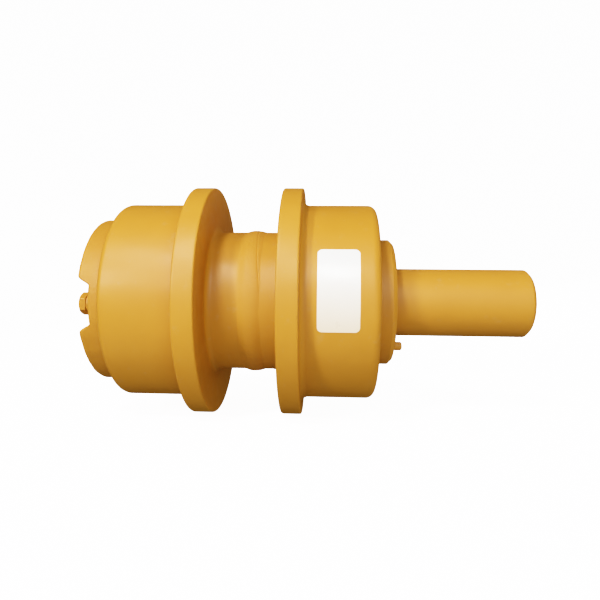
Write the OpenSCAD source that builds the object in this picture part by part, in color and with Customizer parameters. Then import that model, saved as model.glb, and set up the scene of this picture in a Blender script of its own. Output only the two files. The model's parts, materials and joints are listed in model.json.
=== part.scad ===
// Cantilever track roller for a crawler undercarriage: a twin-tread roller that
// turns on two tapered roller bearings, on an axle held by one end.
// The axle lies along Y, with the closed cover at -Y and the clamped stub at +Y.
// The origin is on the axle's centre line, midway between the two treads.

/* [Roller body] */
// Diameter of the two treads that carry the chain
tread_d = 200; // [196:1:204]
// Diameter of the two guide flanges
flange_d = 235; // [225:1:245]
// Diameter of the neck between the flanges
neck_d = 144; // [142:1:150]
// Length of the roller body, end face to end face
body_len = 256; // [252:1:262]
// Distance between the facing sides of the flanges
flange_gap = 70; // [60:1:76]
// Thickness of each flange
flange_t = 20; // [16:1:24]
// Chamfer at the outer end of each tread
tread_chamfer = 4; // [2:0.5:5]
// Fillet where the neck and the treads meet the flanges
root_fillet = 6; // [3:0.5:8]
// Rounding of the flange rims
rim_round = 1.5; // [0.5:0.5:3]

/* [Weld] */
// Distance of the weld's middle from the roller's middle
weld_y = 5; // [-8:0.5:16]
// Width of the weld at the neck's surface
weld_w = 22; // [10:1:26]
// Height of the weld's crown over the neck
weld_crown = 2; // [0.5:0.5:3]
// Depth of the welded groove
weld_depth = 12; // [8:1:14]

/* [Axle] */
// Diameter of the stub that the machine clamps
stub_d = 70; // [68:1:72]
// Length of the stub beyond the collar's face
stub_len = 140; // [100:5:180]
// Chamfer at the stub's end
stub_chamfer = 3.5; // [1:0.5:5]
// Diameter of the axle between the bearings
axle_mid_d = 64; // [60:1:64]

/* [Seal collar] */
// Outer diameter of the collar
collar_d = 130; // [128:1:132]
// How far the collar stands out of the roller's end
collar_proud = 18; // [14:1:24]
// Chamfer on the collar's outer edge
collar_chamfer = 4; // [2:0.5:5]
// Diameter of the locating dowel
dowel_d = 8; // [6:1:10]
// How far the dowel stands out of the collar's face
dowel_proud = 9; // [5:1:12]
// Angle of the dowel round the axle, from +X towards +Z
dowel_angle = -60; // [-90:5:0]

/* [End cover] */
// Diameter of the cover
cover_d = 168; // [164:1:172]
// Thickness of the cover outside the roller body
cover_t = 24.5; // [23:0.5:28]
// Depth of the bolt notches in the cover's rim
notch_depth = 10.5; // [9:0.5:11]
// Width of a notch at its floor
notch_w = 35; // [33:1:37]
// Width of a notch at the cover's face
notch_top_w = 50; // [44:1:52]
// Number of cover bolts
bolt_count = 3; // [3:1:4]
// Angle of the first bolt round the axle, from +X towards +Z
bolt_angle = -4; // [-10:1:10]
// Diameter of the circle that the bolts lie on
bolt_circle_d = 132; // [130:1:134]

/* [Label] */
// Width of the blank label, along the axle
label_w = 38; // [30:1:45]
// Height of the blank label, round the tread
label_h = 74; // [60:1:80]
// Corner radius of the label
label_corner = 4.5; // [2:0.5:8]
// Thickness of the label
label_t = 0.3; // [0.2:0.1:0.5]
// Distance of the label's middle from the roller's middle
label_y = 89.5; // [80:0.5:98]
// Angle of the label's middle round the axle, from +X towards +Z
label_angle = 6; // [-20:0.5:20]

/* [Hidden] */
$fn = 96;
// How far a cut or a joined piece reaches past the surface it meets
lap = 1;

tread_r = tread_d / 2;
flange_r = flange_d / 2;
neck_r = neck_d / 2;
stub_r = stub_d / 2;
collar_r = collar_d / 2;
cover_r = cover_d / 2;

// Stations along the axle
body_end = body_len / 2;
flange_in = flange_gap / 2;
flange_out = flange_in + flange_t;
collar_face = body_end + collar_proud;
stub_end = collar_face + stub_len;
cover_face = -body_end - cover_t;

// Weld: the root faces of the two shells meet at the bottom of the groove
weld_root_w = 4;
weld_root_r = neck_r - weld_depth;
crown_r = (pow(weld_w / 2, 2) + pow(weld_crown, 2)) / (2 * weld_crown);

// Bearings. A bearing is [bore radius, outer radius, width of the cone, width of the cup,
// raceway radius of the cone and of the cup at half length, cup angle, number of rollers].
// Its stations run outwards from the shell's shoulder, which the back of the cup rests on.
INBOARD = [32.5, 50, 23, 17.5, 36.6, 46, 16, 20];
OUTBOARD = [27.5, 45, 23, 17.5, 31.8, 41, 16, 18];
bearing_station = 65;
race_mid = 11;
roller_from = 3.8;
roller_to = 18;
roller_play = 0.04;
small_rib = [4.2, 1.3];
large_rib = [19.6, 3];
cage_t = 1.6;
cage_lift = 0.8;
cage_from = 1.4;
cage_to = 21.2;
window_play = 0.3;
window_end_play = 0.4;

// Bores of the shells
inboard_shoulder_r = 44;
outboard_shoulder_r = 40.5;
spigot_r = 50;
spigot_len = 16;
spigot_wall = 10;
cup_bore_end = 92;

// Axle: the collar seat also carries the inboard cone, and the thread takes the lock nut.
// The stub has a grinding relief where it enters the collar's counterbore.
seat_r = INBOARD[0];
journal_r = OUTBOARD[0];
collar_bore_depth = 6;
collar_shoulder = collar_face - collar_bore_depth;
relief_r = stub_r - 0.5;
journal_start = -50;
cone_back = bearing_station + INBOARD[2];
washer_t = 2;
nut_t = 11;
thread_over = 5;
thread_end = -cone_back - washer_t - nut_t - thread_over;
thread_chamfer = 2;
keyway_w = 8;
keyway_depth = 3.5;
keyway_floor = journal_r - keyway_depth;
centre_hole_r = 6;

// Lock washer and slotted lock nut
lock_washer_r = 40.5;
lock_nut_r = 37.5;
nut_slot_w = 7;
nut_slot_depth = 3;
nut_slots = 4;
nut_bevel = 1.5;
washer_teeth = 13;
tooth_w = 6;
tooth_depth = 4;
tab_play = 0.5;

// Metal face seal. Both halves are the same, and meet on the seal plane.
seal_plane = 104;
seal_bore_r = 45;
seal_flange_r = 53;
seal_flange_t = 4;
seal_tail_r = 48.5;
seal_tail_end = 13;
seal_edge_bevel = 0.8;
seal_bore_bevel = 1.5;
toric_section_r = 3.75;
toric_from_plane = 9;
toric_at = [seal_tail_r + toric_section_r, toric_from_plane];
seal_pocket_r = toric_at.x + toric_section_r;
seal_pocket_end = 14;
seal_pocket_bevel = 1;

// Seal housing ring, pressed into the inboard shell, and the room for the collar.
// The face gap is half the distance between the faces of the two
face_gap = 2;
housing_r = 64;
housing_seat = 2;
housing_from = cone_back - housing_seat;
housing_to = seal_plane - face_gap;
housing_lip_r = 48;
collar_hub_r = 43;
collar_gap = 1.5;
collar_inner_face = seal_plane + face_gap;

// O-rings: [section radius, radius of the groove's floor]. A ring just fills its groove's depth,
// and the groove is wider than the ring by the play on both sides.
COLLAR_O_RING = [1.4, seat_r - 2 * 1.4];
COVER_O_RING = [2.25, spigot_r - 2 * 2.25];
o_ring_play = 0.4;
collar_o_ring_y = 130;
cover_o_ring_depth = 8;
cover_o_ring_y = -body_end + cover_o_ring_depth;

// Locating dowel: its shank is pressed into the collar, whose face is counterbored round it
dowel_shank_r = 3;
dowel_counterbore = 1;
dowel_circle_r = 51;
dowel_depth = 14;
dowel_chamfer = 1;

// Cover bolts, M12, with a spring washer over a plain washer
bolt_r = 6;
bolt_hole_r = 6.75;
bolt_head_flats = 19;
bolt_head_h = 7.5;
head_bevel_inset = 0.4;
head_bevel_drop = 2;
bolt_shank = 40;
bolt_hole_depth = 26;
spring_washer = [6.1, 10.5, 2.5];
plain_washer = [6.5, 12, 2];
spring_gap = 2;
notch_floor = cover_face + notch_depth;
bolt_seat = notch_floor - plain_washer[2] - spring_washer[2];

// Oil fill plug, M20, sunk in the cover's centre
plug_r = 10;
plug_head_flats = 24;
plug_head_h = 7;
plug_washer_r = 14;
plug_washer_t = 1.5;
plug_len = 12;
plug_recess_r = 22;
plug_recess_depth = 9;
plug_floor = cover_face + plug_recess_depth;

// Cover: its rim's rounding, the hollow behind its spigot, and the spigot's bevel
cover_round = 2.5;
cover_hollow_floor = -body_end + 2;
spigot_bevel = 1.5;

paint = [0.86, 0.66, 0.24];
steel = [0.68, 0.69, 0.71];
race_steel = [0.78, 0.79, 0.81];
rubber = [0.10, 0.10, 0.11];
copper = [0.72, 0.45, 0.28];

// ---- Shared shapes ----

// Turns a flat outline of [radius, station along the axle] round the axle
module turned() {
    rotate([-90, 0, 0]) rotate_extrude() children();
}

// Rectangle in a turned outline, between two radii and two stations
module band(r0, r1, y0, y1) {
    translate([r0, y0]) square([r1 - r0, y1 - y0]);
}

// What lies between a square corner and its arc, with a lap that reaches behind the corner.
// dir points from the corner to the arc's centre.
module corner_bit(at, dir, size) {
    centre = [at.x + dir.x * size, at.y + dir.y * size];
    difference() {
        translate([at.x + min(-dir.x * lap, dir.x * size), at.y + min(-dir.y * lap, dir.y * size)])
            square(size + lap);
        translate(centre) circle(size);
    }
}

// Triangle that bevels a square corner. dir points from the corner into the metal.
module bevel_bit(at, dir, size) {
    polygon([at, [at.x + dir.x * size, at.y], [at.x, at.y + dir.y * size]]);
}

// Cylinder along the axle, between two stations
module rod(r, y0, y1) {
    translate([0, y0, 0]) rotate([-90, 0, 0]) cylinder(r = r, h = y1 - y0);
}

// Six-sided prism along the axle, with a flat towards +X
module hex_rod(flats, y0, y1) {
    translate([0, y0, 0]) rotate([-90, 30, 0]) cylinder(d = flats / cos(30), h = y1 - y0, $fn = 6);
}

// Moves its children out from the axle, at an angle from +X towards +Z
module around(angle, radius) {
    rotate([0, -angle, 0]) translate([radius, 0, 0]) children();
}

// Repeats its children at every bolt of the cover
module at_bolts() {
    for (i = [0 : bolt_count - 1])
        around(bolt_angle + i * 360 / bolt_count, bolt_circle_d / 2) children();
}

// ---- Axle body ----

module axle_outline() {
    difference() {
        union() {
            band(0, stub_r, collar_face, stub_end);
            band(0, relief_r, collar_shoulder, collar_face);
            band(0, seat_r, bearing_station, collar_shoulder);
            band(0, axle_mid_d / 2, journal_start, bearing_station);
            band(0, journal_r, thread_end, journal_start);
        }
        bevel_bit([stub_r, stub_end], [-1, -1], stub_chamfer);
        bevel_bit([journal_r, thread_end], [-1, 1], thread_chamfer);
        bevel_bit([0, stub_end], [1, -1], centre_hole_r);
        o_ring_groove(COLLAR_O_RING, seat_r, collar_o_ring_y);
    }
}

module axle_shaft() {
    color(paint) difference() {
        turned() axle_outline();
        translate([-keyway_w / 2, thread_end - lap, keyway_floor])
            cube([keyway_w, -cone_back - thread_end + lap, journal_r]);
    }
}

module collar_outline() {
    difference() {
        union() {
            band(seat_r, collar_r, collar_inner_face, collar_face);
            band(seat_r, collar_hub_r, cone_back, collar_inner_face);
        }
        band(seat_r - lap, stub_r, collar_shoulder, collar_face + lap);
        band(collar_hub_r, seal_pocket_r, collar_inner_face - lap, seal_plane + seal_pocket_end);
        bevel_bit([collar_r, collar_face], [-1, -1], collar_chamfer);
        bevel_bit([seal_pocket_r, collar_inner_face], [1, 1], seal_pocket_bevel);
    }
}

module seal_collar() {
    color(paint) difference() {
        turned() collar_outline();
        around(dowel_angle, dowel_circle_r) {
            rod(dowel_shank_r, collar_face - dowel_depth, collar_face + lap);
            rod(dowel_d / 2, collar_face - dowel_counterbore, collar_face + lap);
        }
    }
}

module locating_dowel() {
    color(paint) around(dowel_angle, dowel_circle_r) turned() difference() {
        union() {
            band(0, dowel_shank_r, collar_face - dowel_depth, collar_face);
            band(0, dowel_d / 2, collar_face, collar_face + dowel_proud);
        }
        bevel_bit([dowel_d / 2, collar_face + dowel_proud], [-1, -1], dowel_chamfer);
    }
}

// Groove for an O-ring, under a surface of the given radius
module o_ring_groove(ring, surface_r, y) {
    half_width = ring[0] + o_ring_play;
    band(ring[1], surface_r + lap, y - half_width, y + half_width);
}

// O-ring that rests on its groove's floor
module o_ring(ring, y) {
    color(rubber) turned() translate([ring[1] + ring[0], y]) circle(ring[0]);
}

// One half of the face seal, with its sealing face at station 0
module seal_ring_outline() {
    difference() {
        band(seal_bore_r, seal_flange_r, 0, seal_tail_end);
        band(seal_tail_r, seal_flange_r + lap, seal_flange_t, seal_tail_end + lap);
        bevel_bit([seal_flange_r, 0], [-1, 1], seal_edge_bevel);
        bevel_bit([seal_bore_r, 0], [1, 1], seal_bore_bevel);
        bevel_bit([seal_tail_r, seal_tail_end], [-1, -1], seal_edge_bevel);
    }
}

// Puts a seal half on the seal plane: side 1 looks back from the collar, side -1 from the roller
module on_seal_plane(side) {
    translate([0, seal_plane]) mirror([0, side > 0 ? 0 : 1]) children();
}

module seal_ring(side) {
    color(race_steel) turned() on_seal_plane(side) seal_ring_outline();
}

module toric_ring(side) {
    color(rubber) turned() on_seal_plane(side) translate(toric_at) circle(toric_section_r);
}

// ---- Bearings ----

// Where all the cones of a bearing come to a point, behind the shell's shoulder
function apex(b) = b[5] / tan(b[6]) - race_mid;
function cone_angle(b) = atan(b[4] / (race_mid + apex(b)));
function roller_tilt(b) = (b[6] + cone_angle(b)) / 2;
function roller_taper(b) = (b[6] - cone_angle(b)) / 2;
function race_at(b, angle, s) = (s + apex(b)) * tan(angle);

// Puts a bearing at its seat: side 1 is the collar's end, side -1 the cover's
module seated(side) {
    mirror([0, side > 0 ? 0 : 1, 0]) translate([0, bearing_station, 0]) children();
}

module bearing_cup(b) {
    color(race_steel) turned() polygon([
        [b[1], 0],
        [b[1], b[3]],
        [race_at(b, b[6], b[3]), b[3]],
        [race_at(b, b[6], 0), 0]
    ]);
}

module bearing_cone(b) {
    inner = cone_angle(b);
    small_r = race_at(b, inner, small_rib[0]) + small_rib[1];
    large_r = race_at(b, inner, large_rib[0]) + large_rib[1];
    color(race_steel) turned() polygon([
        [b[0], 0],
        [small_r, 0],
        [small_r, small_rib[0]],
        [race_at(b, inner, small_rib[0]), small_rib[0]],
        [race_at(b, inner, large_rib[0]), large_rib[0]],
        [large_r, large_rib[0]],
        [large_r, b[2]],
        [b[0], b[2]]
    ]);
}

// One tapered roller in the XY plane, between two stations, made thicker by grow
module tapered_roller(b, from, to, grow) {
    tilt = roller_tilt(b);
    near = (from + apex(b)) / cos(tilt);
    far = (to + apex(b)) / cos(tilt);
    translate([0, -apex(b), 0]) rotate([0, 0, -tilt]) translate([0, near, 0]) rotate([-90, 0, 0])
        cylinder(r1 = near * tan(roller_taper(b)) + grow, r2 = far * tan(roller_taper(b)) + grow,
            h = far - near);
}

// All the rollers of a bearing
module roller_ring(b, from, to, grow) {
    for (i = [0 : b[7] - 1])
        rotate([0, -i * 360 / b[7], 0]) tapered_roller(b, from, to, grow);
}

module bearing_rollers(b) {
    color(race_steel) roller_ring(b, roller_from, roller_to, -roller_play);
}

module bearing_cage(b) {
    tilt = roller_tilt(b);
    low = [for (s = [cage_from, cage_to]) [race_at(b, tilt, s) + cage_lift, s]];
    wall = cage_t / cos(tilt);
    color(steel) difference() {
        turned() polygon([low[0], low[1], [low[1].x + wall, low[1].y], [low[0].x + wall, low[0].y]]);
        roller_ring(b, roller_from - window_end_play, roller_to + window_end_play, window_play);
    }
}

// ---- Lock washer and nut ----

module lock_washer() {
    color(steel) difference() {
        union() {
            difference() {
                rod(lock_washer_r, -cone_back - washer_t, -cone_back);
                rod(journal_r, -cone_back - washer_t - lap, -cone_back + lap);
            }
            translate([-keyway_w / 2 + tab_play, -cone_back - washer_t, keyway_floor + tab_play])
                cube([keyway_w - 2 * tab_play, washer_t, keyway_depth + lap]);
        }
        for (i = [0 : washer_teeth - 1])
            around(i * 360 / washer_teeth, lock_washer_r - tooth_depth)
                translate([0, -cone_back - washer_t - lap, -tooth_w / 2])
                    cube([tooth_depth + lap, washer_t + 2 * lap, tooth_w]);
    }
}

module lock_nut() {
    outer = -cone_back - washer_t - nut_t;
    color(steel) difference() {
        turned() difference() {
            band(journal_r, lock_nut_r, outer, outer + nut_t);
            bevel_bit([lock_nut_r, outer], [-1, 1], nut_bevel);
        }
        for (i = [0 : nut_slots - 1])
            around(i * 360 / nut_slots, lock_nut_r - nut_slot_depth)
                translate([0, outer - lap, -nut_slot_w / 2])
                    cube([nut_slot_depth + lap, nut_t + 2 * lap, nut_slot_w]);
    }
}

// ---- Roller body ----

// Outside of the whole welded roller body
module body_outline() {
    difference() {
        union() {
            band(0, neck_r, -flange_out, flange_out);
            for (side = [-1, 1]) {
                half_outline(side);
                corner_bit([neck_r, side * flange_in], [1, -side], root_fillet);
                corner_bit([tread_r, side * flange_out], [1, side], root_fillet);
            }
        }
        for (side = [-1, 1]) {
            bevel_bit([tread_r, side * body_end], [-1, -side], tread_chamfer);
            corner_bit([flange_r, side * flange_out], [-1, -side], rim_round);
            corner_bit([flange_r, side * flange_in], [-1, side], rim_round);
        }
    }
}

// Tread and flange on one side, with square corners
module half_outline(side) {
    mirror([0, side > 0 ? 0 : 1]) {
        band(0, tread_r, flange_in, body_end);
        band(0, flange_r, flange_in, flange_out);
    }
}

// Groove for the weld. Its sides run on upwards past the neck's surface.
module weld_groove() {
    slope = (weld_w - weld_root_w) / 2 / weld_depth;
    top_w = weld_w + 2 * slope * weld_depth;
    polygon([
        [weld_root_r, weld_y - weld_root_w / 2],
        [weld_root_r, weld_y + weld_root_w / 2],
        [neck_r + weld_depth, weld_y + top_w / 2],
        [neck_r + weld_depth, weld_y - top_w / 2]
    ]);
}

// The weld fills its groove, and an arc crowns it
module weld_outline() {
    intersection() {
        translate([neck_r + weld_crown - crown_r, weld_y]) circle(crown_r);
        weld_groove();
    }
}

module outboard_shell() {
    color(paint) difference() {
        turned() difference() {
            intersection() {
                body_outline();
                band(0, flange_r + lap, -body_end, weld_y);
            }
            weld_groove();
            band(-lap, outboard_shoulder_r, -bearing_station - lap, weld_y + lap);
            band(-lap, OUTBOARD[1], -cup_bore_end - lap, -bearing_station);
            band(-lap, spigot_r, -body_end - lap, -cup_bore_end);
        }
        at_bolts() turned() polygon([
            [0, -body_end - lap],
            [bolt_r, -body_end - lap],
            [bolt_r, -body_end + bolt_hole_depth],
            [0, -body_end + bolt_hole_depth + bolt_r * tan(30)]
        ]);
    }
}

module inboard_shell() {
    color(paint) turned() difference() {
        intersection() {
            body_outline();
            band(0, flange_r + lap, weld_y, body_end);
        }
        weld_groove();
        band(-lap, inboard_shoulder_r, weld_y - lap, bearing_station + lap);
        band(-lap, INBOARD[1], bearing_station, housing_from + lap);
        band(-lap, housing_r, housing_from, housing_to);
        band(-lap, collar_r + collar_gap, housing_to, body_end + lap);
    }
}

module weld_bead() {
    color(paint) turned() weld_outline();
}

module seal_housing() {
    color(steel) turned() difference() {
        band(housing_lip_r, housing_r, housing_from, housing_to);
        band(housing_lip_r - lap, seal_pocket_r, seal_plane - seal_pocket_end, housing_to + lap);
        bevel_bit([seal_pocket_r, housing_to], [1, -1], seal_pocket_bevel);
    }
}

// ---- End cover ----

// Tool room round one bolt head, open at the cover's rim
module notch_cut() {
    flare = (notch_top_w - notch_w) / 2;
    over = flare / notch_depth * lap;
    translate([0, notch_floor, 0]) rotate([90, 0, 0])
        cylinder(r1 = notch_w / 2, r2 = notch_top_w / 2 + over, h = notch_depth + lap);
    drawn_outwards() polygon([
        [notch_floor, notch_w / 2],
        [notch_floor, -notch_w / 2],
        [cover_face - lap, -notch_top_w / 2 - over],
        [cover_face - lap, notch_top_w / 2 + over]
    ]);
}

// Extrudes an outline of [station, height] outwards along X, past the cover's rim
module drawn_outwards() {
    rotate([90, 0, 90]) linear_extrude(cover_r) children();
}

module cover_outline() {
    difference() {
        union() {
            band(0, cover_r, cover_face, -body_end);
            band(0, spigot_r, -body_end, -body_end + spigot_len);
        }
        band(-lap, spigot_r - spigot_wall, cover_hollow_floor, -body_end + spigot_len + lap);
        band(-lap, plug_recess_r, cover_face - lap, plug_floor);
        band(-lap, plug_r, plug_floor - lap, cover_hollow_floor + lap);
        corner_bit([cover_r, cover_face], [-1, 1], cover_round);
        bevel_bit([spigot_r, -body_end + spigot_len], [-1, -1], spigot_bevel);
        o_ring_groove(COVER_O_RING, spigot_r, cover_o_ring_y);
    }
}

module end_cover() {
    color(paint) difference() {
        turned() cover_outline();
        at_bolts() {
            rod(bolt_hole_r, cover_face - lap, -body_end + lap);
            notch_cut();
        }
    }
}

module cover_bolts() {
    color(paint) at_bolts() {
        intersection() {
            hex_rod(bolt_head_flats, bolt_seat - bolt_head_h, bolt_seat);
            turned() difference() {
                band(0, bolt_head_flats, bolt_seat - bolt_head_h, bolt_seat);
                bolt_head_bevel();
            }
        }
        rod(bolt_r, bolt_seat - lap, bolt_seat + bolt_shank);
    }
}

// Thirty degree bevel that takes the corners off a bolt head's outer face
module bolt_head_bevel() {
    from_r = bolt_head_flats / 2 - head_bevel_inset;
    outer = bolt_seat - bolt_head_h;
    polygon([
        [from_r, outer],
        [from_r + head_bevel_drop / tan(30), outer + head_bevel_drop],
        [bolt_head_flats + lap, outer + head_bevel_drop],
        [bolt_head_flats + lap, outer]
    ]);
}

// Ring of [bore radius, outer radius, thickness], with its underside at a station
module washer_ring(w, under) {
    turned() band(w[0], w[1], under - w[2], under);
}

module cover_spring_washers() {
    color(paint) at_bolts() difference() {
        washer_ring(spring_washer, notch_floor - plain_washer[2]);
        translate([0, bolt_seat - lap, -spring_gap / 2])
            cube([spring_washer[1] + lap, spring_washer[2] + 2 * lap, spring_gap]);
    }
}

module cover_plain_washers() {
    color(paint) at_bolts() washer_ring(plain_washer, notch_floor);
}

module oil_fill_plug() {
    seat = plug_floor - plug_washer_t;
    color(paint) {
        hex_rod(plug_head_flats, seat - plug_head_h, seat);
        rod(plug_r, seat - lap, seat + plug_len);
    }
}

module plug_seal_washer() {
    color(copper) washer_ring([plug_r, plug_washer_r, plug_washer_t], plug_floor);
}

// ---- Label ----

module blank_label() {
    long = label_w / 2 - label_corner;
    high = label_h / 2 - label_corner;
    color("white") rotate([0, -label_angle, 0]) intersection() {
        turned() band(tread_r, tread_r + label_t, label_y - label_w, label_y + label_w);
        translate([0, label_y, 0]) rotate([90, 0, 90]) linear_extrude(flange_r) union() {
            square([label_w, 2 * high], center = true);
            square([2 * long, label_h], center = true);
            for (u = [-long, long], v = [-high, high]) translate([u, v]) circle(label_corner);
        }
    }
}

axle_shaft();
seal_collar();
o_ring(COLLAR_O_RING, collar_o_ring_y);  // collar_o_ring
locating_dowel();
seal_ring(1);  // stationary_seal_ring
toric_ring(1);  // stationary_toric_ring
seated(1) bearing_cone(INBOARD);  // inboard_bearing_cone
seated(-1) bearing_cone(OUTBOARD);  // outboard_bearing_cone
lock_washer();
lock_nut();
outboard_shell();
inboard_shell();
weld_bead();
seated(1) bearing_cup(INBOARD);  // inboard_bearing_cup
seated(-1) bearing_cup(OUTBOARD);  // outboard_bearing_cup
seal_housing();
seal_ring(-1);  // rotating_seal_ring
toric_ring(-1);  // rotating_toric_ring
end_cover();
o_ring(COVER_O_RING, cover_o_ring_y);  // cover_o_ring
cover_bolts();
cover_spring_washers();
cover_plain_washers();
oil_fill_plug();
plug_seal_washer();
blank_label();
seated(1) bearing_cage(INBOARD);  // inboard_bearing_cage
seated(1) bearing_rollers(INBOARD);  // inboard_bearing_rollers
seated(-1) bearing_cage(OUTBOARD);  // outboard_bearing_cage
seated(-1) bearing_rollers(OUTBOARD);  // outboard_bearing_rollers
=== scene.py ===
"""Looks for the cantilever track roller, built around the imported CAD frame."""
import json
import math

import bpy
import numpy as np
from mathutils import Matrix, Vector, noise


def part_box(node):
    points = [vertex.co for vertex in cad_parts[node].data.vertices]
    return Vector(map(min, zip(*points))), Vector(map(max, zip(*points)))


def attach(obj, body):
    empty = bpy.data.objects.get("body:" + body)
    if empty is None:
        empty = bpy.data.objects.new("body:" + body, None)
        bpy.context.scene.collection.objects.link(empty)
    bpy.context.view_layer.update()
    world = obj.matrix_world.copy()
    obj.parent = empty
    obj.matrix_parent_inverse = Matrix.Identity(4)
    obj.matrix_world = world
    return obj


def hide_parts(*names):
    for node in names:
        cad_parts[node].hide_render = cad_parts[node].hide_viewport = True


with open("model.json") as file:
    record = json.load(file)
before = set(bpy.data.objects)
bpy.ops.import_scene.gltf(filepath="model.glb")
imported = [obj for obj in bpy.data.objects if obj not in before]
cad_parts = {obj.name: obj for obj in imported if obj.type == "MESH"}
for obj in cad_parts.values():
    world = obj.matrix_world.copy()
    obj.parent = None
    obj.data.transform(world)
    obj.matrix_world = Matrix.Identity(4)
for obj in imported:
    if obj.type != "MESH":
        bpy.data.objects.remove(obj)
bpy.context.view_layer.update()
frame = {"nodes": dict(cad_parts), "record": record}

MM = 0.001
TURN = 2 * math.pi
BOLT_COUNT = 3

# Distance from the outboard bearing cup's seat to the end of the bore for the cover's spigot
SPIGOT_BORE_GAP = 27 * MM
COUNTERBORE_DEPTH = 6 * MM
COVER_HOLLOW_WALL = 10 * MM
COVER_PLATE_INSET = 2 * MM

# Hexagons across flats, and [inner, outer] radii of the bolts' washers
BOLT_FLATS = 19 * MM
PLUG_FLATS = 24 * MM
BOLT_R = 6 * MM
SPRING_WASHER = (6.1 * MM, 10.5 * MM)
PLAIN_WASHER = (6.5 * MM, 12 * MM)

# ---- Sizes measured on the frame ----


def points(node):
    """The node's vertices, as rows of x, y, z in metres."""
    return np.array([v.co for v in frame["nodes"][node].data.vertices])


def turned(node, y_from=-1.0, y_to=1.0):
    """Radius and station of the node's vertices between two stations."""
    co = points(node)
    keep = (co[:, 1] >= y_from) & (co[:, 1] <= y_to)
    return np.hypot(co[keep, 0], co[keep, 2]), co[keep, 1]


def reach(node, y_from=-1.0, y_to=1.0):
    """Largest radius of a turned node between two stations."""
    return turned(node, y_from, y_to)[0].max()


def bore(node, y_from=-1.0, y_to=1.0):
    """Smallest radius of a turned node between two stations."""
    return turned(node, y_from, y_to)[0].min()


def ends(node):
    """First and last station of a node."""
    lo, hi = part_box(node)
    return lo.y, hi.y


def front_centre(node):
    """Angle and distance from the axle of the one solid of a repeated node that lies towards +X."""
    co = points(node)
    angle = np.arctan2(co[:, 2], co[:, 0])
    one = co[np.abs(angle) < math.radians(30)]
    middle = (one.min(0) + one.max(0)) / 2
    return math.atan2(middle[2], middle[0]), math.hypot(middle[0], middle[2])


body_end = ends("inboard_shell")[1]
flange_r = reach("inboard_shell")
shell_r, shell_y = turned("inboard_shell", 0.02, body_end - 0.01)
tread_r = reach("inboard_shell", body_end - 0.006, body_end)
# the flange's sides: the stations where the radius is well above the tread's, past its fillet
flange_in = shell_y[shell_r > tread_r + 4 * MM].min()
flange_out = shell_y[shell_r > tread_r + 8 * MM].max()
root_fillet = 6 * MM
rim_round = 1.5 * MM
neck_r = reach("inboard_shell", 0, flange_in - root_fillet - MM)
# rounding of the tread's end: +1 is the inboard half, -1 the outboard half
end_round = {1: 8 * MM, -1: 6 * MM}
weld_lo, weld_hi = ends("weld_bead")
weld_y = (weld_lo + weld_hi) / 2
weld_root_r = bore("weld_bead")
weld_root_half = 2 * MM

collar_r = reach("seal_collar")
collar_face = ends("seal_collar")[1]
collar_end = ends("seal_collar")[0]
counterbore = collar_face - COUNTERBORE_DEPTH
stub_end = ends("axle_shaft")[1]
stub_r = reach("axle_shaft")
seat_r = bore("seal_collar")

cover_r = reach("end_cover")
cover_face, cover_end = ends("end_cover")
spigot_r = reach("end_cover", -body_end + 3 * MM, 0)
notch_floor = ends("cover_plain_washers")[1]
recess_floor = ends("plug_seal_washer")[1]
recess_r = 22 * MM
plug_r = bore("plug_seal_washer")
bolt_angle, bolt_circle = front_centre("cover_plain_washers")
bolt_face, bolt_tip = ends("cover_bolts")
bolt_seat = ends("cover_spring_washers")[0]
washer_top = ends("cover_plain_washers")[0]

# ---- Mesh helpers ----


def rounded(corners, step=1.0):
    """Outline through [radius, station, rounding] corners, in metres, with arcs and no edge over step."""
    path = []
    count = len(corners)
    for i, (r, y, size) in enumerate(corners):
        here = Vector((r, y))
        before = Vector(corners[i - 1][:2]) - here
        after = Vector(corners[(i + 1) % count][:2]) - here
        turn = before.angle(after)
        if size <= 0 or turn > math.radians(175):
            path.append(here)
            continue
        back = size / math.tan(turn / 2)
        start = here + before.normalized() * back
        end = here + after.normalized() * back
        middle = here + (before.normalized() + after.normalized()).normalized() * size / math.sin(turn / 2)
        sweep = math.pi - turn
        bits = max(3, round(size * sweep / (0.6 * MM)))
        spoke = start - middle
        way = 1 if spoke.x * (end - middle).y - spoke.y * (end - middle).x > 0 else -1
        for k in range(bits + 1):
            path.append(middle + Matrix.Rotation(way * sweep * k / bits, 2) @ spoke)
    dense = []
    for i, here in enumerate(path):
        following = path[(i + 1) % len(path)]
        parts = max(1, math.ceil((following - here).length / step))
        dense += [here.lerp(following, k / parts) for k in range(parts)]
    return np.array([[max(p.x, 0), p.y] for p in dense])


def ring_mesh(name, radius, station, closed):
    """Mesh from rows of rings round Y: radius and station are arrays of [row, angle].

    A closed section joins its last row to its first; an open one ends in points on the axle."""
    rows, around = radius.shape
    angle = np.arange(around) * TURN / around
    co = np.stack([radius * np.cos(angle), station, radius * np.sin(angle)], -1).reshape(-1, 3)
    grid = np.arange(rows * around).reshape(rows, around)
    after = np.roll(grid, -1, 1)
    last = rows if closed else rows - 1
    faces = []
    for i in range(last):
        j = (i + 1) % rows
        faces.append(np.stack([grid[i], after[i], after[j], grid[j]], -1))
    faces = np.concatenate(faces).tolist()
    co = co.tolist()
    if not closed:
        for row, flip in ((0, True), (rows - 1, False)):
            tip = len(co)
            co.append([0.0, float(station[row].mean()), 0.0])
            for a, b in zip(grid[row].tolist(), after[row].tolist()):
                faces.append([tip, b, a] if flip else [tip, a, b])
    return mesh_object(name, co, faces)


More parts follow.
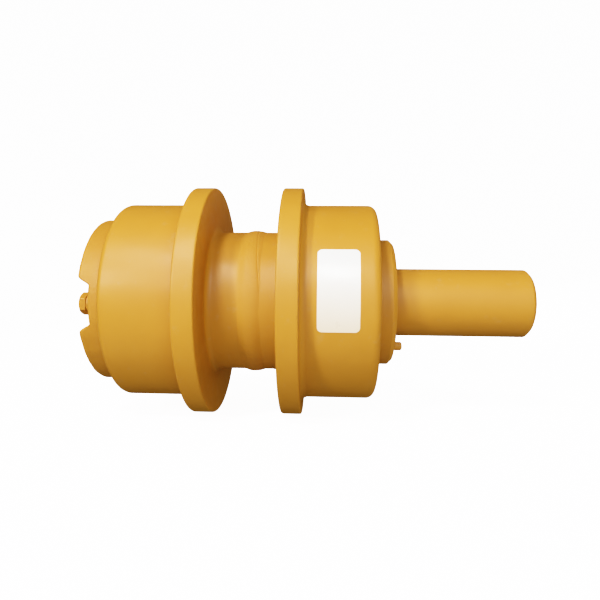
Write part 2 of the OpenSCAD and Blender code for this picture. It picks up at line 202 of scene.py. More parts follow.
def mesh_object(name, co, faces):
    """New mesh object with outward normals and smooth shading."""
    mesh = bpy.data.meshes.new(name)
    mesh.from_pydata([tuple(p) for p in co], [], faces)
    mesh.update()
    piece = bpy.data.objects.new(name, mesh)
    bpy.context.scene.collection.objects.link(piece)
    volume = sum(f.area * f.normal.dot(f.center) for f in mesh.polygons)
    if volume < 0:
        mesh.flip_normals()
    mesh.shade_smooth()
    mesh.set_sharp_from_angle(angle=math.radians(40))
    return piece


def lathe(name, outline, around, ripple=None):
    """Turned piece from a closed outline, or from an open one that starts and ends on the axle."""
    closed = outline[0, 0] > 0.01 * MM
    if not closed:
        outline = outline[outline[:, 0] > 0.01 * MM]
    radius = np.repeat(outline[:, :1], around, 1)
    station = np.repeat(outline[:, 1:], around, 1)
    if ripple:
        angle = np.arange(around) * TURN / around
        way = outline_normals(outline, closed)
        for i in range(len(outline)):
            for k in range(around):
                lift = ripple(outline[i, 0], outline[i, 1], angle[k])
                radius[i, k] += way[i, 0] * lift
                station[i, k] += way[i, 1] * lift
    return ring_mesh(name, radius, station, closed)


def outline_normals(outline, closed):
    """Unit normals of an outline, pointing out of the metal."""
    ahead = np.roll(outline, -1, 0) - np.roll(outline, 1, 0)
    if not closed:
        ahead[0] = outline[1] - outline[0]
        ahead[-1] = outline[-1] - outline[-2]
    normal = np.stack([ahead[:, 1], -ahead[:, 0]], 1)
    normal /= np.maximum(np.linalg.norm(normal, axis=1, keepdims=True), 1e-9)
    loop = np.vstack([outline, outline[:1]])
    area = np.sum(loop[:-1, 0] * loop[1:, 1] - loop[1:, 0] * loop[:-1, 1])
    return normal if area > 0 else -normal


def rough(p, size, seed=0.0):
    """Smooth noise between about -1 and 1, with bumps of a size in metres."""
    return noise.noise(Vector((p[0] / size + seed, p[1] / size, p[2] / size - seed)))


def skin(amount, size, seed, low_r=0.0):
    """Ripple that makes a painted surface a little uneven, above a radius."""
    def ripple(r, y, angle):
        if r < low_r:
            return 0.0
        p = (r * math.cos(angle), y, r * math.sin(angle))
        return amount * (rough(p, size, seed) + 0.4 * rough(p, size / 3, seed + 7))
    return ripple


def drip(angle, width, depth_scale):
    """Height of a run of paint that hangs at the lowest line of a turned surface."""
    away = (angle + math.pi / 2 + math.pi) % TURN - math.pi
    return 0.12 * depth_scale * math.exp(-(away * neck_r / width) ** 2)


def smooth_step(low, high, value):
    """0 below low, 1 above high, and an S curve between."""
    t = np.clip((value - low) / (high - low), 0, 1)
    return t * t * (3 - 2 * t)


def place_round(piece, angle, distance):
    """Moves a piece that was made round the Y axis out to its own place round the axle."""
    move = Matrix.Rotation(-angle, 4, "Y") @ Matrix.Translation((distance, 0, 0))
    piece.data.transform(move)
    return piece


def joined(name, pieces):
    """One object with the meshes of several."""
    co, faces = [], []
    for piece in pieces:
        start = len(co)
        co += [v.co.copy() for v in piece.data.vertices]
        faces += [[start + i for i in f.vertices] for f in piece.data.polygons]
        bpy.data.objects.remove(piece)
    return mesh_object(name, co, faces)


# ---- Materials ----


class Graph:
    """Short way to build one material's nodes."""

    def __init__(self, name):
        self.material = bpy.data.materials.new(name)
        self.material.use_nodes = True
        self.nodes = self.material.node_tree.nodes
        self.links = self.material.node_tree.links
        self.shader = self.nodes["Principled BSDF"]
        self.place = self.nodes.new("ShaderNodeTexCoord").outputs["Object"]

    def link(self, a, b):
        self.links.new(a, b)

    def stretch(self, scale):
        """Object coordinates scaled by three numbers."""
        node = self.nodes.new("ShaderNodeMapping")
        node.inputs["Scale"].default_value = scale
        self.link(self.place, node.inputs["Vector"])
        return node.outputs["Vector"]

    def noise(self, scale, detail=3.0, roughness=0.5, vector=None):
        node = self.nodes.new("ShaderNodeTexNoise")
        node.inputs["Scale"].default_value = scale
        node.inputs["Detail"].default_value = detail
        node.inputs["Roughness"].default_value = roughness
        self.link(vector or self.place, node.inputs["Vector"])
        return node.outputs["Fac"]

    def spread(self, value, low, high, to_low=0.0, to_high=1.0):
        """Maps a range of a value onto another, and clamps it."""
        node = self.nodes.new("ShaderNodeMapRange")
        self.link(value, node.inputs["Value"])
        node.inputs["From Min"].default_value = low
        node.inputs["From Max"].default_value = high
        node.inputs["To Min"].default_value = to_low
        node.inputs["To Max"].default_value = to_high
        return node.outputs["Result"]

    def mix(self, factor, a, b):
        """Mixes two colours, each a socket or a tuple."""
        node = self.nodes.new("ShaderNodeMix")
        node.data_type = "RGBA"
        self.link(factor, node.inputs["Factor"])
        for value, socket in ((a, node.inputs[6]), (b, node.inputs[7])):
            if isinstance(value, tuple):
                socket.default_value = (*value, 1)
            else:
                self.link(value, socket)
        return node.outputs[2]

    def bump(self, height, distance, strength=1.0, under=None):
        node = self.nodes.new("ShaderNodeBump")
        node.inputs["Strength"].default_value = strength
        node.inputs["Distance"].default_value = distance
        self.link(height, node.inputs["Height"])
        if under:
            self.link(under, node.inputs["Normal"])
        return node.outputs["Normal"]


def paint(name, colour, dark, grain, grain_depth, rings=0.0, gloss=(0.38, 0.50)):
    """Enamel: cloudy colour, smudged gloss, orange peel, and the metal's own marks under it."""
    g = Graph(name)
    clouds = g.noise(14, 4, 0.55)
    fine = g.noise(90, 3, 0.6)
    base = g.mix(g.spread(clouds, 0.35, 0.68), colour, dark)
    dust = tuple(0.6 * c + 0.4 * d for c, d in zip(colour, (0.40, 0.30, 0.18)))
    g.link(g.mix(g.spread(fine, 0.62, 0.78, 0.0, 0.35), base, dust), g.shader.inputs["Base Color"])
    smudge = g.noise(38, 5, 0.6, g.stretch((1, 0.45, 1)))
    g.link(g.spread(smudge, 0.3, 0.7, *gloss), g.shader.inputs["Roughness"])
    normal = g.bump(g.noise(620, 2, 0.5), 0.02 * MM, 0.5)
    normal = g.bump(g.noise(grain, 4, 0.6), grain_depth, 0.6, normal)
    if rings:
        marks = g.noise(1, 3, 0.6, g.stretch((14, 900, 14)))
        normal = g.bump(marks, rings, 0.6, normal)
    g.link(normal, g.shader.inputs["Normal"])
    g.shader.inputs["IOR"].default_value = 1.45
    g.shader.inputs["Specular IOR Level"].default_value = 0.36
    return g.material


def metal(name, colour, dark, roughness, scale, stretch=(1, 1, 1), bump=0.01 * MM):
    """Bare metal with machining marks and patches of oil film."""
    g = Graph(name)
    marks = g.noise(scale, 3, 0.6, g.stretch(stretch))
    film = g.noise(45, 4, 0.6)
    tint = g.mix(g.spread(film, 0.4, 0.7), colour, dark)
    g.link(tint, g.shader.inputs["Base Color"])
    g.link(g.spread(marks, 0.3, 0.7, roughness - 0.07, roughness + 0.1), g.shader.inputs["Roughness"])
    g.link(g.bump(marks, bump, 0.5), g.shader.inputs["Normal"])
    g.shader.inputs["Metallic"].default_value = 1.0
    return g.material


def rubber(name):
    g = Graph(name)
    bloom = g.noise(120, 4, 0.6)
    g.link(g.mix(g.spread(bloom, 0.4, 0.75), (0.012, 0.012, 0.013), (0.05, 0.05, 0.048)),
           g.shader.inputs["Base Color"])
    g.link(g.spread(bloom, 0.3, 0.7, 0.42, 0.62), g.shader.inputs["Roughness"])
    g.link(g.bump(g.noise(900, 2), 0.02 * MM, 0.4), g.shader.inputs["Normal"])
    return g.material


def vinyl(name):
    """White film, faintly patchy, with painted shade and a warm painted reflection towards its lower end."""
    g = Graph(name)
    split = g.nodes.new("ShaderNodeSeparateXYZ")
    g.link(g.place, split.inputs["Vector"])
    # painted shade and warm painted reflection: the film's colour turns darker and warmer towards its lower
    # end
    painted_low_shade = g.spread(split.outputs["Z"], 0.035, -0.03)
    patches = g.mix(g.spread(g.noise(26, 3, 0.5), 0.35, 0.7), (0.90, 0.89, 0.87), (0.86, 0.84, 0.80))
    g.link(g.mix(painted_low_shade, patches, (0.82, 0.68, 0.50)), g.shader.inputs["Base Color"])
    g.link(g.spread(g.noise(60, 3), 0.3, 0.7, 0.26, 0.38), g.shader.inputs["Roughness"])
    g.link(g.bump(g.noise(180, 2), 0.03 * MM, 0.3), g.shader.inputs["Normal"])
    return g.material


YELLOW = (0.500, 0.224, 0.029)
DEEP = (0.470, 0.205, 0.024)
MATERIALS = {
    "roller_paint": paint("roller_paint", YELLOW, DEEP, 170, 0.06 * MM, 0.012 * MM),
    "weld_paint": paint("weld_paint", YELLOW, DEEP, 260, 0.14 * MM, 0.0, (0.50, 0.62)),
    "cover_paint": paint("cover_paint", YELLOW, (0.45, 0.19, 0.021), 330, 0.35 * MM, 0.0, (0.45, 0.58)),
    "axle_paint": paint("axle_paint", YELLOW, DEEP, 150, 0.05 * MM, 0.02 * MM, (0.46, 0.56)),
    "fastener_paint": paint("fastener_paint", YELLOW, (0.44, 0.18, 0.021), 420, 0.15 * MM),
    "bearing_steel": metal("bearing_steel", (0.72, 0.72, 0.73), (0.62, 0.60, 0.56), 0.18, 1,
                           (30, 1800, 30)),
    "pressed_steel": metal("pressed_steel", (0.52, 0.52, 0.53), (0.42, 0.40, 0.36), 0.34, 300),
    "machined_steel": metal("machined_steel", (0.58, 0.58, 0.59), (0.46, 0.44, 0.40), 0.3, 1,
                            (30, 1300, 30), 0.02 * MM),
    "seal_iron": metal("seal_iron", (0.34, 0.34, 0.35), (0.25, 0.24, 0.23), 0.36, 420),
    "seal_rubber": rubber("seal_rubber"),
    "copper": metal("copper", (0.78, 0.40, 0.22), (0.50, 0.24, 0.13), 0.32, 260),
    "label_vinyl": vinyl("label_vinyl"),
}
SLOT_OF = {p["node"]: p["material_slot"] for p in frame["record"]["subparts"]}


def finish_node(node):
    """Gives a CAD node that stays its procedural material."""
    mesh = frame["nodes"][node].data
    mesh.materials.clear()
    mesh.materials.append(MATERIALS[SLOT_OF[node]])


def dress(piece, body, *nodes, look=None):
    """A finished piece that rides on a body and stands for its CAD nodes."""
    slot = SLOT_OF[nodes[0]]
    piece.data.materials.clear()
    piece.data.materials.append(MATERIALS[look or slot])
    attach(piece, body)
    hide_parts(*nodes)
    return piece


# ---- Roller body ----
FINE = 2.0 * MM
AROUND = 320


def shell(side, name, node, inside):
    """One welded half: its outside, then the bores that inside lists from the tread's end to the weld."""
    outside = [
        (neck_r, weld_y + side * 0.6 * (weld_hi - weld_y), 0),
        (neck_r, side * flange_in, root_fillet),
        (flange_r, side * flange_in, rim_round),
        (flange_r, side * flange_out, rim_round),
        (tread_r, side * flange_out, root_fillet),
        (tread_r, side * body_end, end_round[side]),
    ]
    root = [(weld_root_r, weld_y, 0), (weld_root_r, weld_y + side * weld_root_half, 0)]
    outline = rounded(outside + inside + root, FINE)
    uneven = skin(0.07 * MM, 26 * MM, side * 3.1, neck_r - MM)

    def ripple(r, y, angle):
        run = drip(angle, 2.2 * MM, 9 * MM) * math.exp(-((y - flange_in + 10 * MM) / (2 * MM)) ** 2)
        return uneven(r, y, angle) + (run if r < neck_r + MM else 0.0)

    return lathe(name, outline, AROUND, ripple)


collar_bore = bore("inboard_shell", body_end - MM, body_end)
housing_r = reach("seal_housing")
housing_from, housing_to = ends("seal_housing")
cup_seat = ends("inboard_bearing_cup")[0]
inboard = shell(1, "inboard_shell_skin", "inboard_shell", [
    (collar_bore, body_end, 0.8 * MM),
    (collar_bore, housing_to, 0),
    (housing_r, housing_to, 0),
    (housing_r, housing_from, 0),
    (reach("inboard_bearing_cup"), housing_from, 0),
    (reach("inboard_bearing_cup"), cup_seat, 0),
    (bore("inboard_shell"), cup_seat, 0),
    (bore("inboard_shell"), weld_y, 0),
])
dress(inboard, "roller", "inboard_shell")

far_seat = ends("outboard_bearing_cup")[1]
spigot_bore_end = far_seat - SPIGOT_BORE_GAP
outboard = shell(-1, "outboard_shell_skin", "outboard_shell", [
    (spigot_r, -body_end, 0.8 * MM),
    (spigot_r, spigot_bore_end, 0),
    (reach("outboard_bearing_cup"), spigot_bore_end, 0),
    (reach("outboard_bearing_cup"), far_seat, 0),
    (bore("outboard_shell"), far_seat, 0),
    (bore("outboard_shell"), weld_y, 0),
])
dress(outboard, "roller", "outboard_shell")


def weld():
    """Weld bead, ground back by hand: a low crown, a soft toe on one side and a creased one on the other."""
    half = (weld_hi - weld_lo) / 2
    crown = reach("weld_bead") - neck_r
    margin = 4 * MM
    rows = 70
    around = 900
    across = np.linspace(-half - margin, half + margin, rows)
    radius = np.zeros((rows, around))
    for k in range(around):
        angle = k * TURN / around
        p = (neck_r * math.cos(angle), 0, neck_r * math.sin(angle))
        shift = 0.9 * MM * rough(p, 30 * MM, 2.0) + 0.3 * MM * rough(p, 8 * MM, 5.0)
        wide = half * (1.0 + 0.08 * rough(p, 24 * MM, 9.0))
        tall = crown * (0.9 + 0.22 * rough(p, 20 * MM, 4.0))
        sag = drip(angle, 2.5 * MM, 5 * MM)
        rise = max(0.0, math.sin(angle))
        cut = 0.34 * smooth_step(-0.1, 0.3, math.sin(angle)) * MM
        crease_at = 1.08 * half - 8 * MM * rise
        for i, off in enumerate(across):
            u = (off - shift) / wide
            if u < 0:
                arch = 0.5 + 0.5 * math.cos(math.pi * min(-u, 1.0) ** 1.35)
            else:
                arch = math.cos(math.pi / 2 * min(u, 1.0) ** 1.25)
            arch -= 0.5 * max(0.0, abs(u) - 1)
            hand = 0.07 * rough((angle * 22, off / (2.2 * MM), 3), 1.0, 8.0)
            hand += 0.05 * rough((angle * 60, off / (5 * MM), 0), 1.0, 1.0)
            crease = cut * math.exp(-((off - 0.3 * shift - crease_at) / (0.55 * MM)) ** 2)
            radius[i, k] = neck_r + tall * (arch + hand * max(0.0, 1.1 - abs(u))) - crease
            radius[i, k] += sag * math.exp(-(off / (3 * MM)) ** 2)
    station = np.repeat(weld_y + across[:, None], around, 1)
    inner = np.full((2, around), weld_root_r)
    edge = np.array([[weld_y + weld_root_half], [weld_y - weld_root_half]])
    radius = np.vstack([radius, inner])
    station = np.vstack([station, np.repeat(edge, around, 1)])
    return ring_mesh("weld_bead_ground", radius, station, True)


dress(weld(), "roller", "weld_bead", look="weld_paint")

# ---- End cover ----


def cover():
    """Rough casting: a face with flared notches for the bolts, a soft rim, and the spigot behind."""
    around = 720
    angle = np.arange(around) * TURN / around
    deep = notch_floor - cover_face
    notch_half = 18.0 * MM
    notch_flare = 8.5 * MM
    rim = 2.6 * MM

    def face(r):
        """Station of the cast face at a radius, for every angle."""
        down = np.zeros(around)
        for i in range(BOLT_COUNT):
            away = angle - bolt_angle - i * TURN / BOLT_COUNT
            out = r * np.cos(away) - bolt_circle
            across = r * np.sin(away)
            off = np.where(out < 0, np.hypot(out, across), np.abs(across))
            off = np.where(np.cos(away) < 0, 1.0, off)
            t = np.clip((off - notch_half) / notch_flare, 0, 1)
            down = np.maximum(down, 1 - np.sin(math.pi / 2 * t) ** 1.4)
        return cover_face + deep * down

    rows_r, rows_y = [], []

    def row(r, y):
        rows_r.append(np.full(around, r) if np.isscalar(r) else r)
        rows_y.append(np.full(around, y) if np.isscalar(y) else y)

    recess_step = 1.2 * MM
    row(plug_r, recess_floor)
    for r in np.linspace(plug_r + 2 * MM, recess_r - recess_step, 6):
        row(r, recess_floor)
    for a in np.linspace(0, math.pi / 2, 4)[1:]:
        row(recess_r - recess_step * (1 - math.sin(a)), recess_floor - recess_step * (1 - math.cos(a)))
    depth = recess_floor - cover_face
    for k in range(1, 6):
        row(recess_r, recess_floor - recess_step - (depth - 2 * recess_step) * k / 6)
    for a in np.linspace(0, math.pi / 2, 5):
        row(recess_r + recess_step * (1 - math.cos(a)), cover_face + recess_step * (1 - math.sin(a)))
    for r in np.arange(recess_r + 2 * MM, cover_r - rim, 0.9 * MM):
        row(r, face(r))
    edge = face(cover_r - rim)
    for a in np.linspace(0, math.pi / 2, 7)[1:]:
        row(cover_r - rim + rim * math.sin(a), edge + rim * (1 - math.cos(a)))
    low = edge + rim
    back = -body_end - 0.5 * MM
    for k in range(1, 22):
        row(cover_r, low + (back - low) * k / 21)
    row(cover_r - 0.5 * MM, -body_end)
    for r in np.linspace(cover_r - 3 * MM, spigot_r + 0.4 * MM, 12):
        row(r, -body_end)
    row(spigot_r, -body_end + 0.4 * MM)
    row(spigot_r, cover_end - 1.5 * MM)
    row(spigot_r - 1.5 * MM, cover_end)
    row(spigot_r - COVER_HOLLOW_WALL, cover_end)
    row(spigot_r - COVER_HOLLOW_WALL, -body_end + COVER_PLATE_INSET)
    row(plug_r, -body_end + COVER_PLATE_INSET)
    radius, station = np.array(rows_r), np.array(rows_y)
    add_casting(radius, station, angle)
    return ring_mesh("end_cover_casting", radius, station, True)


def add_casting(radius, station, angle):
    """Moves the cast rows of the cover in and out by noise, outside its machined back."""
    dr_row = np.gradient(radius, axis=0)
    dy_row = np.gradient(station, axis=0)
    length = np.maximum(np.hypot(dr_row, dy_row), 1e-9)
    out_r, out_y = -dy_row / length, dr_row / length
    sign = -1 if out_y[20].mean() > 0 else 1
    for i in range(radius.shape[0]):
        if station[i].mean() > -body_end - 0.7 * MM:
            continue
        for k in range(radius.shape[1]):
            p = (radius[i, k] * math.cos(angle[k]), station[i, k], radius[i, k] * math.sin(angle[k]))
            lift = 0.28 * MM * rough(p, 11 * MM, 1.5) + 0.11 * MM * rough(p, 2.6 * MM, 4.5)
            radius[i, k] += sign * out_r[i, k] * lift
            station[i, k] += sign * out_y[i, k] * lift


dress(cover(), "roller", "end_cover")


def hex_radius(angle, flats, soft=0.985):
    """Radius of a hexagon with a flat towards angle zero and softened corners."""
    near = (angle + math.pi / 6) % (math.pi / 3) - math.pi / 6
    return min(flats / 2 / math.cos(near), flats / 2 / math.cos(math.pi / 6) * soft)


def hex_head(name, flats, outer, seat, shank_r, tip, bevel=0.4 * MM, washer_face=0.9 * MM):
    """Hexagon head with its thirty degree bevel, and the shank behind it, round the Y axis."""
    around = 144
    angle = np.arange(around) * TURN / around
    shape = np.array([hex_radius(a, flats) for a in angle])
    flat_r = flats / 2 - bevel
    rows_r, rows_y = [], []

    def row(r, y):
        rows_r.append(np.full(around, r) if np.isscalar(r) else r)
        rows_y.append(np.full(around, y) if np.isscalar(y) else y)

    for r in np.linspace(0.5 * MM, flat_r - 0.3 * MM, 6):
        row(r, outer)
    slope = math.tan(math.radians(30))
    for share in (0.15, 0.5, 0.8):
        at = flat_r + (shape - flat_r) * share
        row(at, outer + np.maximum(at - flat_r, 0) * slope)
    drop = outer + (shape - flat_r) * slope
    row(shape - 0.12 * MM, drop - 0.02 * MM)
    row(shape, drop + 0.2 * MM)
    under = seat - washer_face
    for share in (0.33, 0.66):
        row(shape, drop + 0.2 * MM + (under - drop - 0.4 * MM) * share)
    row(shape, under - 0.2 * MM)
    row(shape - 0.2 * MM, under)
    row(flat_r - 0.4 * MM, under)
    row(flat_r - 0.4 * MM, seat)
    row(shank_r + 0.6 * MM, seat)
    row(shank_r, seat + 0.6 * MM)
    row(shank_r, tip - MM)
    row(shank_r - MM, tip)
    radius, station = np.array(rows_r), np.array(rows_y)
    for i in range(radius.shape[0]):
        for k in range(around):
            p = (radius[i, k] * math.cos(angle[k]), station[i, k], radius[i, k] * math.sin(angle[k]))
            station[i, k] += 0.06 * MM * rough(p, 4 * MM, 3.3)
            radius[i, k] += 0.05 * MM * rough(p, 3 * MM, 6.3)
    return ring_mesh(name, radius, station, False)


def spring_washer(name, inner, outer, top, under):
    """Split ring of rectangular wire whose ends lift past each other a little."""
    bits = 90
    gap = 0.16
    gap_at = math.radians(130)
    wire = rounded([(inner, top, 0.35 * MM), (outer, top, 0.35 * MM), (outer, under, 0.35 * MM),
                    (inner, under, 0.35 * MM)], MM)
    co, faces = [], []
    for k in range(bits):
        share = k / (bits - 1)
        angle = gap_at + gap / 2 + (TURN - gap) * share
        rise = 0.25 * MM * (share - 0.5)
        co += [(r * math.cos(angle), y + rise, r * math.sin(angle)) for r, y in wire]
    count = len(wire)
    for k in range(bits - 1):
        for i in range(count):
            j = (i + 1) % count
            faces.append([k * count + i, k * count + j, (k + 1) * count + j, (k + 1) * count + i])
    faces.append(list(range(count))[::-1])
    faces.append([(bits - 1) * count + i for i in range(count)])
    return mesh_object(name, co, faces)


def at_every_bolt(make, name):
    """The same piece at each of the cover's bolts, as one object."""
    pieces = []
    for i in range(BOLT_COUNT):
        piece = make(f"{name}_{i}")
        spin = Matrix.Rotation(math.radians(37 * i), 4, "Y")
        if i:
            piece.data.transform(spin)
        pieces.append(place_round(piece, bolt_angle + i * TURN / BOLT_COUNT, bolt_circle))
    return joined(name, pieces)


def bolt_head(name):
    return hex_head(name, BOLT_FLATS, bolt_face, bolt_seat, BOLT_R, bolt_tip)


def split_washer(name):
    return spring_washer(name, *SPRING_WASHER, bolt_seat, washer_top)


def flat_washer(name):
    """Plain washer: a flat ring with softened edges."""
    inner, outer = PLAIN_WASHER
    outline = rounded([
        (inner, washer_top, 0.3 * MM),
        (outer, washer_top, 0.5 * MM),
        (outer, notch_floor, 0.3 * MM),
        (inner, notch_floor, 0.3 * MM),
    ], MM)
    return lathe(name, outline, 96, skin(0.04 * MM, 4 * MM, 2.2))


dress(at_every_bolt(bolt_head, "cover_bolt_heads"), "roller", "cover_bolts")
dress(at_every_bolt(split_washer, "cover_spring_washer_rings"), "roller", "cover_spring_washers")
dress(at_every_bolt(flat_washer, "cover_plain_washer_rings"), "roller", "cover_plain_washers")

plug_face, plug_tip = ends("oil_fill_plug")
plug_seat = ends("plug_seal_washer")[0]
plug_head = hex_head("oil_fill_plug_head", PLUG_FLATS, plug_face, plug_seat, plug_r, plug_tip, 0.8 * MM)
dress(plug_head, "roller", "oil_fill_plug")


def plug_washer():
    """Copper seal washer under the fill plug's head."""
    outer = reach("plug_seal_washer")
    outline = rounded([
        (plug_r, plug_seat, 0.3 * MM),
        (outer, plug_seat, 0.5 * MM),
        (outer, recess_floor, 0.3 * MM),
        (plug_r, recess_floor, 0.2 * MM),
    ], MM)
    return lathe("plug_seal_washer_ring", outline, 96, skin(0.03 * MM, 4 * MM, 5.2))


dress(plug_washer(), "roller", "plug_seal_washer")

# ---- Axle side ----


def axle():
    """Axle with its chamfered stub, centre hole and bearing seats."""
    journal_r = bore("outboard_bearing_cone")
    thread_end = ends("axle_shaft")[0]
    middle_r = 32 * MM
    middle_from = -50 * MM
    shoulder = ends("inboard_bearing_cone")[0]
    hole = 6 * MM
    relief_r = stub_r - 0.5 * MM
    outline = rounded([
        (0, thread_end, 0),
        (journal_r, thread_end, 2 * MM),
        (journal_r, middle_from, 0),
        (middle_r, middle_from, 0.5 * MM),
        (middle_r, shoulder, 0),
        (seat_r, shoulder, 0),
        (seat_r, counterbore, 0),
        (relief_r, counterbore, 0),
        (relief_r, collar_face, 0),
        (stub_r, collar_face, 0.3 * MM),
        (stub_r, stub_end - 3.5 * MM, 1.5 * MM),
        (stub_r - 3.5 * MM, stub_end, 1.0 * MM),
        (hole, stub_end, 0.5 * MM),
        (0, stub_end - hole, 0),
    ], 2.5 * MM)
    return lathe("axle_turned", outline, 224, skin(0.05 * MM, 30 * MM, 8.1, 30 * MM))


def collar():
    """Seal collar with its bevelled rim, counterbore, hub and seal pocket."""
    hub_r = 43 * MM
    pocket_r = 56 * MM
    pocket_end = 118 * MM
    inner_face = 106 * MM
    outline = rounded([
        (stub_r, collar_face, 0.6 * MM),
        (collar_r - 4 * MM, collar_face, 0.9 * MM),
        (collar_r, collar_face - 4 * MM, 0.9 * MM),
        (collar_r, inner_face, 0.4 * MM),
        (pocket_r + MM, inner_face, 0),
        (pocket_r, inner_face + MM, 0),
        (pocket_r, pocket_end, 0),
        (hub_r, pocket_end, 0),
        (hub_r, collar_end, 0.4 * MM),
        (seat_r, collar_end, 0),
        (seat_r, counterbore, 0),
        (stub_r, counterbore, 0),
    ], 1.8 * MM)
    return lathe("seal_collar_turned", outline, 288, skin(0.06 * MM, 18 * MM, 4.4, 36 * MM))


def dowel():
    """Locating dowel with a bevelled tip and a crust of paint."""
    lo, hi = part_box("locating_dowel")
    angle = math.atan2((lo.z + hi.z) / 2, (lo.x + hi.x) / 2)
    distance = math.hypot((lo.z + hi.z) / 2, (lo.x + hi.x) / 2)
    r = (hi.x - lo.x) / 2 + 0.25 * MM
    shank = 3 * MM
    outline = rounded([
        (0, lo.y, 0),
        (shank, lo.y, 0.3 * MM),
        (shank, collar_face, 0),
        (r, collar_face, 0.2 * MM),
        (r, hi.y - 1.2 * MM, 0.6 * MM),
        (r - 1.2 * MM, hi.y, 0.6 * MM),
        (0, hi.y, 0),
    ], 0.7 * MM)
    return place_round(lathe("locating_dowel_pin", outline, 64, skin(0.1 * MM, 3 * MM, 1.7)), angle, distance)


dress(axle(), "axle", "axle_shaft")
dress(collar(), "axle", "seal_collar")
dress(dowel(), "axle", "locating_dowel")


def label():
    """Blank white film wrapped on the tread, with round corners and a faintly uneven face."""
    co = points("blank_label")
    angle = np.arctan2(co[:, 2], co[:, 0])
    middle = (angle.min() + angle.max()) / 2
    half_w = (co[:, 1].max() - co[:, 1].min()) / 2
    middle_y = (co[:, 1].max() + co[:, 1].min()) / 2
    half_h = (angle.max() - angle.min()) / 2 * tread_r
    corner = 4.5 * MM
    rows, columns = 96, 52
    heights = np.sin(np.linspace(-math.pi / 2, math.pi / 2, rows)) * half_h
    verts = []
    film_top, film_under = 0.34 * MM, -0.2 * MM
    for layer in (film_top, film_under):
        for v in heights:
            inside = max(0.0, abs(v) - (half_h - corner))
            wide = half_w - corner + math.sqrt(max(corner ** 2 - inside ** 2, 0))
            for s in np.sin(np.linspace(-math.pi / 2, math.pi / 2, columns)):
                a = middle + v / tread_r
                lift = layer
                if layer > 0:
                    p = (v, s * wide, 0)
                    lift += 0.05 * MM * rough(p, 9 * MM, 3.0)
                r = tread_r + lift
                verts.append((r * math.cos(a), middle_y + s * wide, r * math.sin(a)))
    faces = []
    size = rows * columns
    for i in range(rows - 1):
        for k in range(columns - 1):
            a = i * columns + k
            faces.append([a, a + 1, a + columns + 1, a + columns])
            faces.append([size + a + columns, size + a + columns + 1, size + a + 1, size + a])
    border = list(range(columns))
    border += [i * columns + columns - 1 for i in range(1, rows)]
    border += [(rows - 1) * columns + k for k in range(columns - 2, -1, -1)]
    border += [i * columns for i in range(rows - 2, 0, -1)]
    for a, b in zip(border, border[1:] + border[:1]):
        faces.append([b, a, size + a, size + b])
    return mesh_object("blank_label_film", verts, faces)


dress(label(), "roller", "blank_label")

SHOWN = {"inboard_shell", "outboard_shell", "weld_bead", "end_cover", "cover_bolts",
         "cover_spring_washers", "cover_plain_washers", "oil_fill_plug", "plug_seal_washer",
         "axle_shaft", "seal_collar", "locating_dowel", "blank_label"}
for node_name in frame["nodes"]:
    if node_name not in SHOWN:
        finish_node(node_name)

# ---- Stage, light and camera ----


def stage():
    """Pale floor that curves up into a pale wall all round. It only shows to the camera."""
    floor = -flange_r - 0.3 * MM
    reach_out, sweep, wall = 3.2, 1.2, 3.5
    rows = [(0.02, floor)]
    rows += [(r, floor) for r in (0.3, 0.8, 1.6, reach_out - sweep)]
    rows += [(reach_out - sweep + sweep * math.sin(a), floor + sweep * (1 - math.cos(a)))
             for a in np.linspace(0, math.pi / 2, 12)[1:]]
    rows += [(reach_out, floor + wall)]
    around = 96
    co, faces = [], []
    for r, z in rows:
        co += [(r * math.cos(k * TURN / around), r * math.sin(k * TURN / around), z) for k in range(around)]
    for i in range(len(rows) - 1):
        for k in range(around):
            j = (k + 1) % around
            faces.append([i * around + k, i * around + j, (i + 1) * around + j, (i + 1) * around + k])
    faces.append(list(range(around))[::-1])
    mesh = bpy.data.meshes.new("floor")
    mesh.from_pydata(co, [], faces)
    mesh.shade_smooth()
    obj = bpy.data.objects.new("floor", mesh)
    bpy.context.scene.collection.objects.link(obj)
    g = Graph("floor_paper")
    g.link(g.mix(g.spread(g.noise(3, 3), 0.3, 0.7), (0.86, 0.86, 0.86), (0.83, 0.83, 0.83)),
           g.shader.inputs["Base Color"])
    g.shader.inputs["Roughness"].default_value = 0.95
    g.shader.inputs["Specular IOR Level"].default_value = 0.0
    g.shader.inputs["Emission Color"].default_value = (1, 1, 1, 1)
    g.shader.inputs["Emission Strength"].default_value = 2.6
    mesh.materials.append(g.material)
    obj.visible_diffuse = False
    obj.visible_glossy = False
    obj.visible_shadow = False


def softbox(name, way, level, size, distance=2.0, glossy=True, diffuse=True):
    """Round area light in a direction. level is how bright it makes a white surface that faces it."""
    light = bpy.data.lights.new(name, "AREA")
    light.shape = "DISK"
    light.size = size
    light.energy = level * (math.pi * distance) ** 2
    obj = bpy.data.objects.new(name, light)
    bpy.context.scene.collection.objects.link(obj)
    way = Vector(way).normalized()
    obj.location = way * distance
    obj.rotation_euler = way.to_track_quat("Z", "Y").to_euler()
    obj.visible_camera = False
    obj.visible_glossy = glossy
    obj.visible_diffuse = diffuse


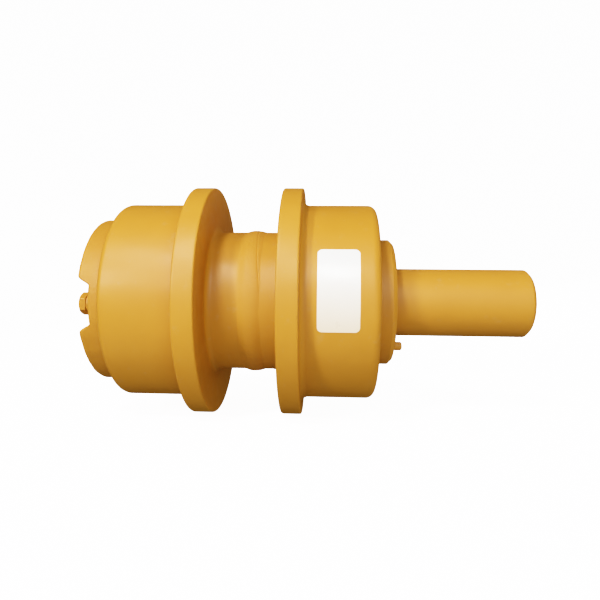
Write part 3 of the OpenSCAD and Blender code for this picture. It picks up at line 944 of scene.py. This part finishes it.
def lights():
    """Two windows on one side, fills on the other side and behind, a card below, a gleam above."""
    world = bpy.data.worlds.new("world")
    world.use_nodes = True
    world.node_tree.nodes["Background"].inputs["Color"].default_value = (1.0, 0.98, 0.95, 1)
    world.node_tree.nodes["Background"].inputs["Strength"].default_value = 0.45
    bpy.context.scene.world = world
    world.cycles_visibility.glossy = False
    softbox("low_window", (0.801, -0.4925, 0.34), 0.68, 0.26)
    softbox("high_window", (0.64, -0.26, 0.72), 0.78, 0.34)
    softbox("fill", (0.88, 0.36, 0.24), 0.70, 2.5, 2.5, glossy=False)
    softbox("side_fill", (0.20, 0.97, 0.15), 0.26, 1.0, 2.5, glossy=False)
    softbox("floor_card", (0.80, -0.15, -0.58), 0.16, 2.0, 2.5, glossy=False)
    softbox("ceiling_gleam", (0.85, 0.05, 0.53), 0.5, 0.4, diffuse=False)
    softbox("back_fill", (-0.90, 0.20, 0.30), 0.55, 1.5, 2.5, glossy=False)


def tone_curve():
    """Soft shoulder and toe of a small camera, as a curve over scene brightness."""
    view = bpy.context.scene.view_settings
    view.view_transform = "Standard"
    view.look = "None"
    view.use_curve_mapping = True
    curves = view.curve_mapping
    top = 4.0
    knee = 0.25
    toe = 0.035
    curves.white_level = (top, top, top)
    curve = curves.curves[3]
    levels = [0.0, 0.02, 0.05, 0.1, 0.18, 0.25, 0.35, 0.5, 0.7, 0.95, 1.25, 1.7, 2.3, 3.0, 4.0]

    def tone(x):
        x = x * x / (x + toe) if x > 0 else 0.0
        return x if x < knee else knee + (1 - knee) * (1 - math.exp(-(x - knee) / (1 - knee)))

    for x in levels[1:-1]:
        curve.points.new(x / top, tone(x))
    curve.points[0].location = (0, 0)
    curve.points[len(curve.points) - 1].location = (1, tone(top))
    curves.update()


def camera():
    """Camera level with the axle, beside the roller body, turned and rolled a little."""
    data = bpy.data.cameras.new("camera")
    data.sensor_width = 36.0
    data.lens = 31.54
    obj = bpy.data.objects.new("camera", data)
    bpy.context.scene.collection.objects.link(obj)
    turn, roll = 0.0474, 0.0116
    ahead = Vector((-math.cos(turn), -math.sin(turn), 0))
    right = Vector((-math.sin(turn), math.cos(turn), 0))
    up = Vector((0, 0, 1))
    side = right * math.cos(roll) + up * math.sin(roll)
    over = up * math.cos(roll) - right * math.sin(roll)
    frame_axes = Matrix((side, over, -ahead)).transposed().to_4x4()
    frame_axes.translation = Vector((0.5590, 0.0775, 0.0011))
    obj.matrix_world = frame_axes
    data.clip_start = 0.01
    bpy.context.scene.camera = obj


stage()
lights()
tone_curve()
camera()
